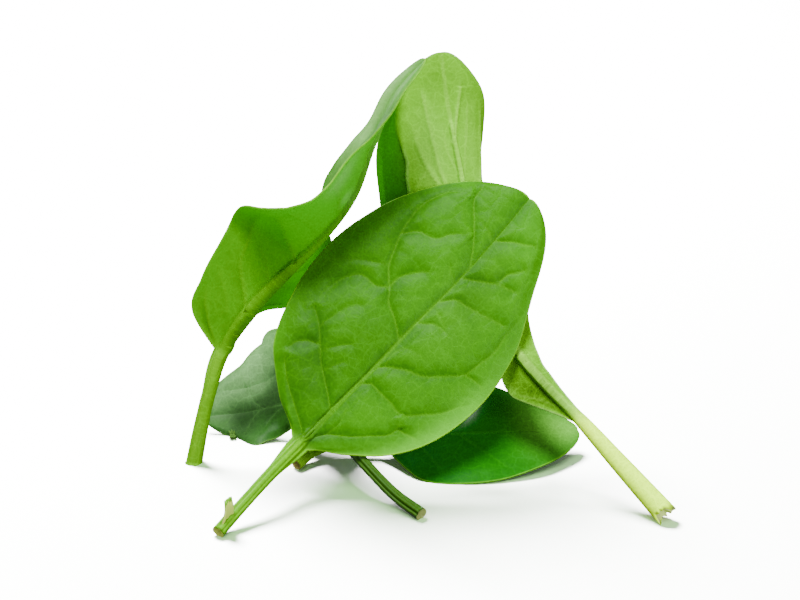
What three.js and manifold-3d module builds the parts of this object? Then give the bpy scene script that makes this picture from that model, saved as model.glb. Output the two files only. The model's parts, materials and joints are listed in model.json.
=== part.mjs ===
// A small loose bunch of five whole spinach leaves, each blade grown in one piece with its stalk.
// Millimetres, +Z up. The bunch rests on z = 0 on its cut stalk ends and on two leaf margins.
import * as THREE from 'three';
import { mergeVertices } from 'three/addons/utils/BufferGeometryUtils.js';
import Module from 'manifold-3d';

const wasm = await Module();
wasm.setup();

// Driving dimensions
const BLADE_THICKNESS = 0.8;
const MARGIN_MINIMUM = 0.3;
const QUILT_HEIGHT = 0.9;
const VEIN_VALLEY = 2.6;
const QUILT_FADES_FROM = 0.7;
const MIDRIB_END = 0.8;
const MIDRIB_SINKS_BY = 0.15;
const ROWS = 24;
const COLUMNS = 6;
const STALK_SIDES = 10;
const STALK_STEP = 3.2;
const STALK_GROOVE = 0.28;
const SCRAP_THICKNESS = 0.7;
const SCRAP_ROWS = 4;
const SCRAP_COLUMNS = 3;
const SCRAP_TAPER = 0.6;
const CROSS_STEPS = 16;
const FLOOR_BLOCK = 200;
const BUNCH_CENTRE = [-1.206, 4.011];

// Each leaf: spine points run from the cut stalk end to the tip, and the blade starts at spine[bladeAt].
// facing is the side from which left and right are told; upper is 1 when the upper face is on that side.
// stations: [along 0..1, left half width, its angle, its bend, right half width, its angle, its bend],
// with angles in degrees round the midrib, from straight left through the facing side.
// veins: the side veins as [along, across] points, across from -1 (right margin) to 1 (left margin).
// stalkRadii: at the cut, halfway up the stalk, at the blade's base and at the end of the raised midrib.
// cutHollow and fork shape the cut end: how deep its middle is, and how far its two sides stand out.
// scraps: small torn tongues of skin, from root to top, that grew from the leaf and still hang on it.
const LEAVES = [
  {
    name: 'front_leaf',
    colour: '#5a9a26',
    spine: [
      [-45.2, -30, 1.15], [-40.9, -24, 4.0], [-35, -16, 7.8],
      [-28.6, -6.6, 11], [-20.4, -1.6, 18.2], [-12.2, 2.9, 25.3], [-4, 7.7, 32.8],
      [4.2, 12.2, 39.8], [13, 17.4, 48], [22.6, 23.8, 57.7],
    ],
    bladeAt: 3,
    facing: [0, -0.84, 0.54],
    upper: 1,
    tipRoundness: 8,
    stations: [
      [0, 2.1, 0, 0, 1.9, 180, 0],
      [0.03, 4.7, 0, -6, 4.2, 180, 6],
      [0.07, 11, 0, -10, 8.3, 180, 10],
      [0.17, 20, 0, -10, 15.9, 180, 10],
      [0.33, 25.1, 0, -10, 21.2, 180, 10],
      [0.5, 27, 0, -10, 22.7, 180, 10],
      [0.67, 26.3, 0, -10, 20.5, 180, 10],
      [0.83, 24, 0, -10, 15.7, 180, 10],
      [1, 20, 0, -10, 13.4, 180, 10],
    ],
    stalkRadii: [1.45, 1.35, 1.5, 0.55],
    cutHollow: 0.5,
    fork: 0,
    scraps: [
      {
        root: [-43.4, -28, 2.9],
        top: [-43, -28.3, 8],
        across: [0.55, 0.76, 0.36],
        halfWidth: 1.9,
        curl: 0.3,
      },
    ],
    veins: [
      [[0.0, -0.09], [0.02, -0.17], [0.07, -0.3], [0.11, -0.52], [0.16, -0.64], [0.2, -0.72],
        [0.23, -0.69], [0.27, -0.6]],
      [[0.23, -0.69], [0.24, -0.83], [0.25, -0.92]],
      [[0.24, 0.0], [0.27, -0.1], [0.27, -0.21], [0.27, -0.4], [0.27, -0.59], [0.31, -0.71],
        [0.34, -0.8], [0.38, -0.86], [0.43, -0.93]],
      [[0.3, 0.0], [0.33, -0.06], [0.35, -0.15], [0.37, -0.26], [0.39, -0.42], [0.44, -0.58],
        [0.48, -0.68], [0.54, -0.72], [0.59, -0.76], [0.66, -0.77], [0.72, -0.85]],
      [[0.48, -0.68], [0.49, -0.79], [0.49, -0.92]],
      [[0.49, 0.0], [0.51, -0.07], [0.53, -0.16], [0.53, -0.32]],
      [[0.58, 0.0], [0.62, -0.11], [0.63, -0.25], [0.64, -0.39], [0.65, -0.53], [0.66, -0.68],
        [0.66, -0.77]],
      [[0.68, 0.0], [0.71, -0.19], [0.74, -0.4], [0.75, -0.56], [0.76, -0.72]],
      [[0.75, -0.4], [0.78, -0.45], [0.8, -0.55], [0.83, -0.7]],
      [[0.0, 0.1], [0.03, 0.3], [0.06, 0.5], [0.1, 0.72], [0.14, 0.8], [0.17, 0.82]],
      [[0.13, 0.0], [0.17, 0.2], [0.21, 0.4], [0.25, 0.52], [0.29, 0.63], [0.32, 0.74], [0.33, 0.8]],
      [[0.25, 0.53], [0.23, 0.66], [0.2, 0.77], [0.17, 0.82]],
      [[0.42, 0.0], [0.46, 0.16], [0.48, 0.28], [0.51, 0.36], [0.49, 0.46], [0.49, 0.55],
        [0.48, 0.63], [0.44, 0.71], [0.4, 0.74], [0.33, 0.78]],
      [[0.51, 0.36], [0.55, 0.37], [0.6, 0.3], [0.64, 0.2]],
      [[0.51, 0.36], [0.56, 0.5], [0.61, 0.57], [0.66, 0.64], [0.71, 0.69], [0.76, 0.74],
        [0.81, 0.76], [0.87, 0.75], [0.9, 0.62]],
      [[0.66, 0.64], [0.7, 0.56], [0.71, 0.48], [0.72, 0.4], [0.76, 0.34], [0.8, 0.22]],
      [[0.72, 0.0], [0.78, 0.12], [0.84, 0.3], [0.89, 0.52], [0.93, 0.66], [0.96, 0.84]],
      [[0.83, 0.0], [0.86, -0.25], [0.88, -0.5], [0.9, -0.72]],
    ],
  },
  {
    name: 'left_leaf',
    colour: '#6aa818',
    spine: [
      [-53.6, 7.4, -1.2], [-51.8, 9.2, 7.6], [-49.8, 11, 15.7],
      [-46.8, 13.5, 24.4], [-40, 15.6, 34.7], [-31.5, 17.6, 43.2], [-23, 19.4, 51.7],
      [-16.9, 20.4, 60.2], [-12.8, 21.4, 71.2], [-7.7, 22.4, 82.2], [-0.9, 22.4, 90.2],
    ],
    bladeAt: 3,
    facing: [0, -0.93, 0.36],
    upper: -1,
    tipRoundness: 8,
    stations: [
      [0, 2, -20, 0, 1.5, 210, 0],
      [0.05, 11, -15, 0, 4, 258, 0],
      [0.12, 13, -8, 0, 7, 258, 0],
      [0.2, 14.8, 0, 0, 13, 243, 0],
      [0.3, 17.5, 12, 0, 16, 244, 0],
      [0.36, 18.5, 44, 0, 16.5, 250, 0],
      [0.42, 18, 58, 0, 16.5, 282, 0],
      [0.5, 16.5, 66, 0, 15, 300, 0],
      [0.6, 14, 68, 0, 12, 306, 0],
      [0.68, 12, 74, 0, 9, 302, 0],
      [0.76, 10, 90, 0, 7, 294, 0],
      [0.84, 8.5, 105, 0, 6, 298, 0],
      [0.92, 7, 108, 0, 5, 303, 0],
      [1, 6, 110, 0, 5, 303, 0],
    ],
    stalkRadii: [1.9, 1.6, 1.6, 0.6],
    cutHollow: 0.5,
    fork: 0,
    scraps: [],
    veins: [
      [[0.0, 0.45], [0.02, 0.47], [0.04, 0.52], [0.07, 0.62], [0.09, 0.74], [0.13, 0.86]],
      [[0.13, 0.0], [0.17, 0.22], [0.2, 0.45], [0.23, 0.58], [0.29, 0.65], [0.34, 0.75], [0.38, 0.86]],
      [[0.32, 0.0], [0.34, 0.1], [0.36, 0.34], [0.38, 0.55], [0.39, 0.78]],
      [[0.14, 0.0], [0.17, -0.33], [0.21, -0.73]],
      [[0.5, 0.0], [0.56, 0.4], [0.6, 0.8]],
      [[0.28, 0.0], [0.34, -0.4], [0.38, -0.8]],
      [[0.46, 0.0], [0.52, -0.4], [0.56, -0.8]],
      [[0.66, 0.0], [0.74, 0.45], [0.8, 0.8]],
    ],
  },
  {
    name: 'back_leaf',
    colour: '#7db848',
    spine: [
      [50.2, -22.2, 2.0], [41, -12.5, 9.4],
      [33.2, -4.2, 15.7], [25.6, 2.9, 21.4], [19.5, 9.2, 26.8], [14, 17.6, 35], [10.8, 23, 44.4],
      [8.5, 27, 53.9], [6.9, 29.5, 62.9], [5.2, 31.2, 71.4], [3.7, 32.8, 79.9], [2.6, 34.4, 88.8],
    ],
    bladeAt: 2,
    facing: [0, -0.95, 0.3],
    upper: -1,
    tipRoundness: 7,
    stations: [
      [0, 0.8, -10, 0, 0.8, 180, 0],
      [0.07, 3.9, -10, 0, 1.5, 180, 0],
      [0.12, 6.3, -10, 0, 2.1, 180, 10],
      [0.15, 7.3, -10, 0, 2.4, 180, 20],
      [0.18, 6.9, -10, 0, 3.2, 180, 24],
      [0.215, 5.8, -10, 0, 4.1, 181, 29],
      [0.26, 7.5, -8, -5, 5.7, 184, 33],
      [0.33, 14.5, -5, -20, 9, 190, 40],
      [0.45, 21, 0, -40, 12, 195, 60],
      [0.6, 22, 5, -55, 12, 205, 85],
      [0.75, 21.5, 5, -55, 11.5, 196, 62],
      [0.88, 17, 5, -45, 12, 185, 40],
      [1, 11, 0, -20, 9, 180, 20],
    ],
    stalkRadii: [2.5, 2.0, 1.5, 0.6],
    cutHollow: 1.4,
    fork: 1.5,
    scraps: [],
    veins: [
      [[0.6, 0.0], [0.64, 0.12], [0.72, 0.21], [0.79, 0.25], [0.88, 0.38], [0.92, 0.52]],
      [[0.58, 0.02], [0.64, 0.15], [0.71, 0.3], [0.77, 0.41], [0.83, 0.52]],
      [[0.4, 0.0], [0.46, 0.3], [0.52, 0.52], [0.6, 0.72]],
      [[0.22, 0.0], [0.27, 0.35], [0.34, 0.7]],
      [[0.52, 0.0], [0.63, -0.3], [0.7, -0.51], [0.79, -0.69], [0.86, -0.84]],
      [[0.3, 0.0], [0.38, -0.35], [0.46, -0.75]],
      [[0.78, 0.02], [0.86, -0.2], [0.92, -0.45]],
    ],
  },
  {
    name: 'right_floor_leaf',
    colour: '#2f7015',
    spine: [
      [-30, 3.8, 1.1], [-26, 8.5, 2.4], [-20, 11, 3.3],
      [-12, 11.5, 4.2], [-3.5, 10.5, 5.5], [5, 9.5, 6], [14, 9.5, 6.3], [23, 11, 6], [34.2, 14.6, 4.8],
    ],
    bladeAt: 3,
    facing: [0, -0.4, 0.9],
    upper: 1,
    tipRoundness: 6,
    stations: [
      [0, 1, 0, 0, 1, 180, 0],
      [0.1, 6.5, -12, -15, 6, 180, 0],
      [0.22, 12.5, -26, -50, 12, 180, 0],
      [0.33, 15, -27, -52, 14.2, 180, 0],
      [0.45, 15.6, -15, -30, 14.6, 180, 0],
      [0.56, 15, 5, -14, 14.4, 180, 0],
      [0.7, 13.8, 8, -12, 13.3, 180, 0],
      [0.85, 11, 2, -8, 11.6, 180, 0],
      [1, 7.5, 0, 0, 9, 180, 0],
    ],
    stalkRadii: [1.3, 1.2, 1.2, 0.5],
    cutHollow: 0.4,
    fork: 0,
    scraps: [],
    veins: [
      [[0.15, 0], [0.25, 0.4], [0.35, 0.8]],
      [[0.35, 0], [0.47, 0.4], [0.58, 0.8]],
      [[0.6, 0], [0.72, 0.4], [0.82, 0.75]],
      [[0.15, 0], [0.25, -0.4], [0.35, -0.8]],
      [[0.4, 0], [0.52, -0.4], [0.62, -0.8]],
      [[0.62, 0], [0.74, -0.4], [0.84, -0.75]],
    ],
  },
  {
    name: 'left_floor_leaf',
    colour: '#4d8438',
    spine: [
      [-2, -21.5, 1.2], [-8.2, -15, 3.2], [-15.4, -5.4, 6.9],
      [-21, 5, 8.8], [-25.5, 14.5, 9.6], [-31, 21.5, 8.6], [-37, 24.6, 6.2], [-43, 25.6, 4.4],
      [-52.5, 25.5, 3.4],
    ],
    bladeAt: 3,
    facing: [0, -0.85, 0.52],
    upper: 1,
    tipRoundness: 6,
    stations: [
      [0, 1, 0, 0, 1, 180, 0],
      [0.12, 3, 0, 0, 7.5, 180, 0],
      [0.3, 5.6, 0, 0, 15.2, 180, 0],
      [0.5, 6.6, 0, 0, 17.8, 180, 0],
      [0.62, 9, 8, 25, 15, 180, 0],
      [0.75, 11, 10, 35, 13, 180, 0],
      [0.86, 8, 5, 15, 12.2, 180, 0],
      [1, 5, 0, 0, 11, 180, 0],
    ],
    stalkRadii: [1.45, 1.3, 1.3, 0.5],
    cutHollow: 0.4,
    fork: 0,
    scraps: [
      {
        root: [-45.6, 22.8, 0.9],
        top: [-45.4, 19.9, 0.4],
        across: [1, 0, 0],
        halfWidth: 0.9,
        curl: 0.2,
      },
    ],
    veins: [
      [[0.36, 0.0], [0.44, -0.3], [0.52, -0.41], [0.63, -0.41], [0.81, -0.51], [0.95, -0.7]],
      [[0.66, 0.0], [0.7, -0.12], [0.72, -0.27], [0.73, -0.47]],
      [[0.67, 0.0], [0.71, 0.12], [0.75, 0.34], [0.78, 0.7]],
      [[0.44, 0.0], [0.52, 0.08], [0.6, 0.25], [0.66, 0.6]],
    ],
  },
];

// A smooth value at t through the stations' column
function stationValue(stations, column, t) {
  const last = stations.length - 1;
  let i = 0;
  while (i < last - 1 && t >= stations[i + 1][0]) i += 1;
  const slope = (k) => {
    const a = stations[Math.max(k - 1, 0)];
    const b = stations[Math.min(k + 1, last)];
    return (b[column] - a[column]) / (b[0] - a[0]);
  };
  const [p, q] = [stations[i], stations[i + 1]];
  const h = q[0] - p[0];
  const f = (t - p[0]) / h;
  return (1 + 2 * f) * (1 - f) ** 2 * p[column] + f * (1 - f) ** 2 * h * slope(i)
    + f * f * (3 - 2 * f) * q[column] + f * f * (f - 1) * h * slope(i + 1);
}

function spineCurve(leaf) {
  const points = leaf.spine.map((p) => new THREE.Vector3(...p));
  return new THREE.CatmullRomCurve3(points, false, 'catmullrom', 0.5);
}

// The midrib's place, its direction, and the left and facing directions square to it.
// s counts spine points.
function spineFrame(leaf, curve, s) {
  const segments = leaf.spine.length - 1;
  const delta = 0.02;
  const at = (k) => curve.getPoint(THREE.MathUtils.clamp(k / segments, 0, 1));
  const middle = at(s);
  const along = at(s + delta).sub(at(s - delta)).normalize();
  const facing = new THREE.Vector3(...leaf.facing);
  facing.addScaledVector(along, -along.dot(facing)).normalize();
  const left = new THREE.Vector3().crossVectors(facing, along);
  return { middle, along, facing, left };
}

function halfWidth(leaf, t, u) {
  const rounding = Math.sqrt(Math.max(1 - t ** leaf.tipRoundness, 0));
  return stationValue(leaf.stations, u >= 0 ? 1 : 4, t) * rounding + MARGIN_MINIMUM;
}

// The blade's middle surface: t from base 0 to tip 1, u from the right margin -1 to the left margin 1
function bladePoint(leaf, curve, t, u) {
  const segments = leaf.spine.length - 1 - leaf.bladeAt;
  const { middle, facing, left } = spineFrame(leaf, curve, leaf.bladeAt + t * segments);
  const column = u >= 0 ? 1 : 4;
  const across = Math.abs(u);
  const step = halfWidth(leaf, t, u) * across / CROSS_STEPS;
  const angle = stationValue(leaf.stations, column + 1, t);
  const bend = stationValue(leaf.stations, column + 2, t);
  for (let k = 0; k < CROSS_STEPS; k += 1) {
    const v = across * (k + 0.5) / CROSS_STEPS;
    const turn = THREE.MathUtils.degToRad(angle + bend * THREE.MathUtils.smoothstep(v, 0, 1));
    middle.addScaledVector(left, Math.cos(turn) * step).addScaledVector(facing, Math.sin(turn) * step);
  }
  return middle;
}

function distanceToSegment(x, y, a, b) {
  const [dx, dy] = [b[0] - a[0], b[1] - a[1]];
  const f = THREE.MathUtils.clamp(((x - a[0]) * dx + (y - a[1]) * dy) / (dx * dx + dy * dy || 1), 0, 1);
  return Math.hypot(x - a[0] - f * dx, y - a[1] - f * dy);
}

// How far the blade swells towards its upper face between the veins
function quilting(leaf, bladeLength, t, u) {
  const width = halfWidth(leaf, t, u);
  let nearest = Math.abs(u) * width;
  for (const vein of leaf.veins) {
    const flat = vein.map(([along, across]) => [along * bladeLength, across * width]);
    for (let k = 1; k < flat.length; k += 1) {
      nearest = Math.min(nearest, distanceToSegment(t * bladeLength, u * width, flat[k - 1], flat[k]));
    }
  }
  const swell = 1 - Math.exp(-((nearest / VEIN_VALLEY) ** 2));
  const fade = 1 - THREE.MathUtils.smoothstep(Math.abs(u), QUILT_FADES_FROM, 1);
  return QUILT_HEIGHT * leaf.upper * swell * fade;
}

// One closed thin body over a grid of middle points, split alike on both faces
function thinSolid(middle, thickness) {
  const rows = middle.length;
  const columns = middle[0].length;
  const positions = [];
  const clamped = (k, count) => Math.min(Math.max(k, 0), count - 1);
  const clampedPoint = (i, j) => middle[clamped(i, rows)][clamped(j, columns)];
  for (const side of [1, -1]) {
    for (let i = 0; i < rows; i += 1) {
      for (let j = 0; j < columns; j += 1) {
        const lengthwise = clampedPoint(i + 1, j).clone().sub(clampedPoint(i - 1, j));
        const crosswise = clampedPoint(i, j + 1).clone().sub(clampedPoint(i, j - 1));
        const normal = crosswise.cross(lengthwise).normalize();
        const point = middle[i][j].clone().addScaledVector(normal, side * thickness / 2);
        positions.push(point.x, point.y, point.z);
      }
    }
  }
  const under = rows * columns;
  const index = [];
  for (let i = 0; i < rows - 1; i += 1) {
    for (let j = 0; j < columns - 1; j += 1) {
      const a = i * columns + j;
      const [b, c, d] = [a + 1, a + columns, a + columns + 1];
      index.push(a, b, d, a, d, c);
      index.push(under + a, under + d, under + b, under + a, under + c, under + d);
    }
  }
  const rim = [];
  for (let j = 0; j < columns; j += 1) rim.push(j);
  for (let i = 1; i < rows; i += 1) rim.push(i * columns + columns - 1);
  for (let j = columns - 2; j >= 0; j -= 1) rim.push((rows - 1) * columns + j);
  for (let i = rows - 2; i > 0; i -= 1) rim.push(i * columns);
  rim.forEach((a, k) => {
    const b = rim[(k + 1) % rim.length];
    index.push(a, under + a, under + b, a, under + b, b);
  });
  const geometry = new THREE.BufferGeometry();
  geometry.setAttribute('position', new THREE.Float32BufferAttribute(positions, 3));
  geometry.setIndex(index);
  return geometry;
}

// The rows crowd towards the blade's base and tip, where its outline turns fastest
function rowPlace(i) {
  const even = i / ROWS;
  return even / 2 + (1 - Math.cos(Math.PI * even)) / 4;
}

function blade(leaf, curve, bladeLength) {
  const grid = [];
  for (let i = 0; i <= ROWS; i += 1) {
    const row = [];
    for (let j = -COLUMNS; j <= COLUMNS; j += 1) {
      row.push(bladePoint(leaf, curve, rowPlace(i), j / COLUMNS));
    }
    grid.push(row);
  }
  const raised = grid.map((row, i) => row.map((point, j) => {
    const lengthwise = grid[Math.min(i + 1, ROWS)][j].clone().sub(grid[Math.max(i - 1, 0)][j]);
    const crosswise = row[Math.min(j + 1, 2 * COLUMNS)].clone().sub(row[Math.max(j - 1, 0)]);
    const normal = lengthwise.cross(crosswise).normalize();
    return point.clone().addScaledVector(normal, quilting(leaf, bladeLength, rowPlace(i), j / COLUMNS - 1));
  }));
  return thinSolid(raised, BLADE_THICKNESS);
}

// The stalk and midrib: a tapering grooved tube, standing proud under the blade
function stalk(leaf, curve) {
  const bladeSegments = leaf.spine.length - 1 - leaf.bladeAt;
  const end = leaf.bladeAt + MIDRIB_END * bladeSegments;
  const steps = Math.ceil(curve.getLength() * (end / (leaf.spine.length - 1)) / STALK_STEP);
  const [cut, waist, base, tip] = leaf.stalkRadii;
  const rings = [];
  for (let i = 0; i <= steps; i += 1) {
    const s = end * i / steps;
    const t = Math.max((s - leaf.bladeAt) / bladeSegments, 0);
    const down = Math.min(s / leaf.bladeAt, 1);
    const lowerHalf = (waist - cut) * Math.min(down * 2, 1);
    const upperHalf = (base - waist) * Math.max(down * 2 - 1, 0);
    const stalkRadius = cut + lowerHalf + upperHalf;
    const radius = t > 0 ? THREE.MathUtils.lerp(base, tip, Math.sqrt(t / MIDRIB_END)) : stalkRadius;
    const { middle, facing, left } = spineFrame(leaf, curve, s);
    const angles = stationValue(leaf.stations, 2, t) + stationValue(leaf.stations, 5, t);
    const turn = THREE.MathUtils.degToRad(angles / 2);
    const upper = left.clone().multiplyScalar(Math.cos(turn)).addScaledVector(facing, Math.sin(turn));
    upper.multiplyScalar(leaf.upper);
    const side = left.clone().multiplyScalar(Math.sin(turn)).addScaledVector(facing, -Math.cos(turn));
    side.multiplyScalar(leaf.upper);
    const sink = THREE.MathUtils.smoothstep(t, 0, MIDRIB_SINKS_BY) * (radius - BLADE_THICKNESS / 2);
    const ring = [];
    for (let k = 0; k < STALK_SIDES; k += 1) {
      const round = 2 * Math.PI * k / STALK_SIDES;
      const groove = 1 - STALK_GROOVE * Math.max(Math.sin(round), 0) ** 6;
      ring.push(middle.clone()
        .addScaledVector(side, Math.cos(round) * radius)
        .addScaledVector(upper, Math.sin(round) * radius * groove - sink));
    }
    rings.push(ring);
  }
  const outward = curve.getTangent(0).negate();
  rings[0].forEach((point, k) => {
    const round = 2 * Math.PI * k / STALK_SIDES;
    point.addScaledVector(outward, leaf.fork * Math.cos(round) ** 2);
  });
  return tubeSolid(rings, leaf.cutHollow);
}

// A small curled tongue of torn skin, widest at its root
function scrapSolid({ root, top, across, halfWidth, curl }) {
  const [start, end] = [new THREE.Vector3(...root), new THREE.Vector3(...top)];
  const side = new THREE.Vector3(...across).normalize();
  const away = side.clone().cross(end.clone().sub(start)).normalize();
  const grid = [];
  for (let i = 0; i <= SCRAP_ROWS; i += 1) {
    const f = i / SCRAP_ROWS;
    const row = [];
    for (let j = 0; j <= SCRAP_COLUMNS; j += 1) {
      const g = 2 * j / SCRAP_COLUMNS - 1;
      const point = start.clone().lerp(end, f);
      point.addScaledVector(side, g * halfWidth * (1 - SCRAP_TAPER * f * f));
      point.addScaledVector(away, curl * (g * g + Math.sin(Math.PI * f)));
      row.push(point);
    }
    grid.push(row);
  }
  return thinSolid(grid, SCRAP_THICKNESS);
}

// One closed tube through rings of points, with a hollow cut at its start
function tubeSolid(rings, cutHollow) {
  const sides = rings[0].length;
  const centreOf = (ring) => ring.reduce((sum, p) => sum.add(p), new THREE.Vector3()).divideScalar(sides);
  const inward = centreOf(rings[1]).sub(centreOf(rings[0])).normalize();
  const start = centreOf(rings[0]).addScaledVector(inward, cutHollow);
  const end = centreOf(rings[rings.length - 1]);
  const positions = [...rings.flat(), start, end].flatMap((p) => [p.x, p.y, p.z]);
  const first = rings.length * sides;
  const index = [];
  for (let k = 0; k < sides; k += 1) {
    const next = (k + 1) % sides;
    for (let i = 0; i < rings.length - 1; i += 1) {
      const [a, b, c, d] = [i * sides + k, i * sides + next, (i + 1) * sides + k, (i + 1) * sides + next];
      index.push(a, b, d, a, d, c);
    }
    const last = (rings.length - 1) * sides;
    index.push(first, next, k, first + 1, last + k, last + next);
  }
  const geometry = new THREE.BufferGeometry();
  geometry.setAttribute('position', new THREE.Float32BufferAttribute(positions, 3));
  geometry.setIndex(index);
  return geometry;
}

function toSolid(geometry) {
  const bare = geometry.clone();
  bare.deleteAttribute('normal');
  bare.deleteAttribute('uv');
  const merged = mergeVertices(bare, 1e-4);
  const solid = new wasm.Manifold(new wasm.Mesh({
    numProp: 3,
    vertProperties: merged.attributes.position.array,
    triVerts: merged.index.array,
  }));
  if (solid.volume() < 0) throw new Error('A leaf piece is inside out');
  return solid;
}

function toGeometry(solid) {
  const { vertProperties, triVerts } = solid.getMesh();
  const geometry = new THREE.BufferGeometry();
  geometry.setAttribute('position', new THREE.BufferAttribute(vertProperties, 3));
  geometry.setIndex(new THREE.BufferAttribute(triVerts, 1));
  return geometry;
}

function leafMesh(leaf, floor) {
  const curve = spineCurve(leaf);
  const bladeLength = curve.getLength() * (1 - leaf.bladeAt / (leaf.spine.length - 1));
  let solid = toSolid(blade(leaf, curve, bladeLength)).add(toSolid(stalk(leaf, curve)));
  for (const scrap of leaf.scraps) solid = solid.add(toSolid(scrapSolid(scrap)));
  solid = solid.subtract(floor);
  const pieces = solid.decompose().sort((a, b) => b.volume() - a.volume());
  const material = new THREE.MeshStandardMaterial({ color: leaf.colour, roughness: 0.5, metalness: 0 });
  const mesh = new THREE.Mesh(toGeometry(pieces[0]), material);
  mesh.name = leaf.name;
  return mesh;
}

const floorBlock = new THREE.BoxGeometry(FLOOR_BLOCK, FLOOR_BLOCK, FLOOR_BLOCK);
floorBlock.translate(0, 0, -FLOOR_BLOCK / 2);
const floor = toSolid(floorBlock);

const bunch = new THREE.Group();
for (const leaf of LEAVES) bunch.add(leafMesh(leaf, floor));
bunch.position.set(-BUNCH_CENTRE[0], -BUNCH_CENTRE[1], 0);

export default bunch;
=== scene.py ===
import json
import math

import bmesh
import bpy
import numpy as np
from bpy.props import FloatProperty, FloatVectorProperty, PointerProperty
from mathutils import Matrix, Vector

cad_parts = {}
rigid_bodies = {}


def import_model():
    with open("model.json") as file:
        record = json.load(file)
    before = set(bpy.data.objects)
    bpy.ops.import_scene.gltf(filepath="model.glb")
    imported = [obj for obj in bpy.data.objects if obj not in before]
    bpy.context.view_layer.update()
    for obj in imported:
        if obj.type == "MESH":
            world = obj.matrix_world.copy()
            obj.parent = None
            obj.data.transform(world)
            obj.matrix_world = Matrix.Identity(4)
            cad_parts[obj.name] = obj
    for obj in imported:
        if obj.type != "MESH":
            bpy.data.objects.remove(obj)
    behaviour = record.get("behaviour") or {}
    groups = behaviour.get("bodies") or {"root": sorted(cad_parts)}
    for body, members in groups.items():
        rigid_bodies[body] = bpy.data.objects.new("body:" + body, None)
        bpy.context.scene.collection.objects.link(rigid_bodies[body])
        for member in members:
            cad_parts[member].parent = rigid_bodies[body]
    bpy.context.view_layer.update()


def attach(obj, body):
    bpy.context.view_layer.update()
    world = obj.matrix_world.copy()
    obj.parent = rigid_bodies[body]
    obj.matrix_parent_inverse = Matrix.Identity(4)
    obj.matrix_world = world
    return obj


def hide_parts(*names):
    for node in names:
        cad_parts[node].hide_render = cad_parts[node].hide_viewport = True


bl_info = {
    "name": "Spinach bunch",
    "version": (1, 0, 0),
    "blender": (4, 5, 0),
    "location": "3D View > Sidebar > Spinach",
    "description": "Grows a small loose bunch of fresh spinach leaves over its packed model",
    "category": "Object",
}

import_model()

MM = 0.001
BUNCH_CENTRE = (-1.206, 4.011)
CROSS_STEPS = 16
COLUMNS = 80
BLADE_ROW_LENGTH = 0.38
STALK_ROW_LENGTH = 0.8
CUT_RINGS = (0.0, 0.3, 0.55, 0.75, 0.9, 0.97)
MARGIN_MINIMUM = 0.3
MIDRIB_END = 0.8
MIDRIB_SINKS_BY = 0.15
MIDRIB_MERGES = (0.78, 0.84)
ROWS_START_TURN = 0.25
COLUMN_CROWDING = 0.35
STALK_OPENS_FROM = -0.16
VEIN_FADE = 0.45
FINE_VEIN_FADE = 0.4
CELL_SIZE = 4.6
MARGIN_ROUNDING = 0.35
SIDE_RIDGE_HEIGHT = 0.25
SCRAP_THICKNESS = 0.45
AIR_STRENGTH = 0.3
FLOOR_HALF_WIDTH = 3.0

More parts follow.
